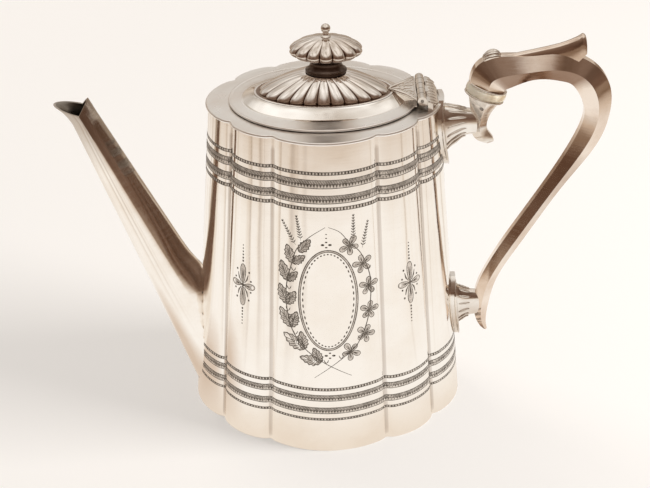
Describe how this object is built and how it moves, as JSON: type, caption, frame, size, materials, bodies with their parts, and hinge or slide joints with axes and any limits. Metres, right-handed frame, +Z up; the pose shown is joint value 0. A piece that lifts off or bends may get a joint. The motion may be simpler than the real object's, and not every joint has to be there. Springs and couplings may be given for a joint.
{
  "type": "coffee pot",
  "caption": "Silver coffee pot of tapering oval lobed form, with a long straight spout, a hinged lid with fluted dome and knob, and a faceted handle with an insulating ring.",
  "frame": {"origin": "middle of the flat foot, on the surface that the pot stands on", "axes": "+X from the body towards the handle, -X towards the spout, +Y to the back, +Z up"},
  "size_m": [0.2595, 0.1088, 0.2037],
  "materials": {
    "silver": "polished, lightly worn",
    "ivory": "satin",
    "steel": "satin",
    "brass": "satin"
  },
  "bodies": {
    "pot": {"body_shell": "silver", "base_plate": "silver", "shoulder_plate": "silver", "spout_tube": "silver", "hinge_pot_leaf": "silver", "hinge_pin": "steel", "upper_escutcheon": "silver", "upper_socket": "silver", "insulator_ring": "ivory", "socket_pin": "steel", "handle_grip": "silver", "thumb_rest": "silver", "lower_escutcheon": "silver", "lower_arm": "silver"},
    "lid": {"lid_cover": "silver", "lid_bezel": "silver", "hinge_lid_leaf": "silver", "finial_neck": "silver", "finial_knob": "silver", "finial_tip": "silver", "finial_stud": "brass", "finial_washer": "brass", "finial_nut": "brass"}
  },
  "joints": [
    {"name": "lid_hinge", "type": "hinge", "parent": "pot", "child": "lid", "pos_m": [0.0448, 0, 0.1705], "axis": [0, 1, 0], "range_deg": [0, 105]}
  ]
}
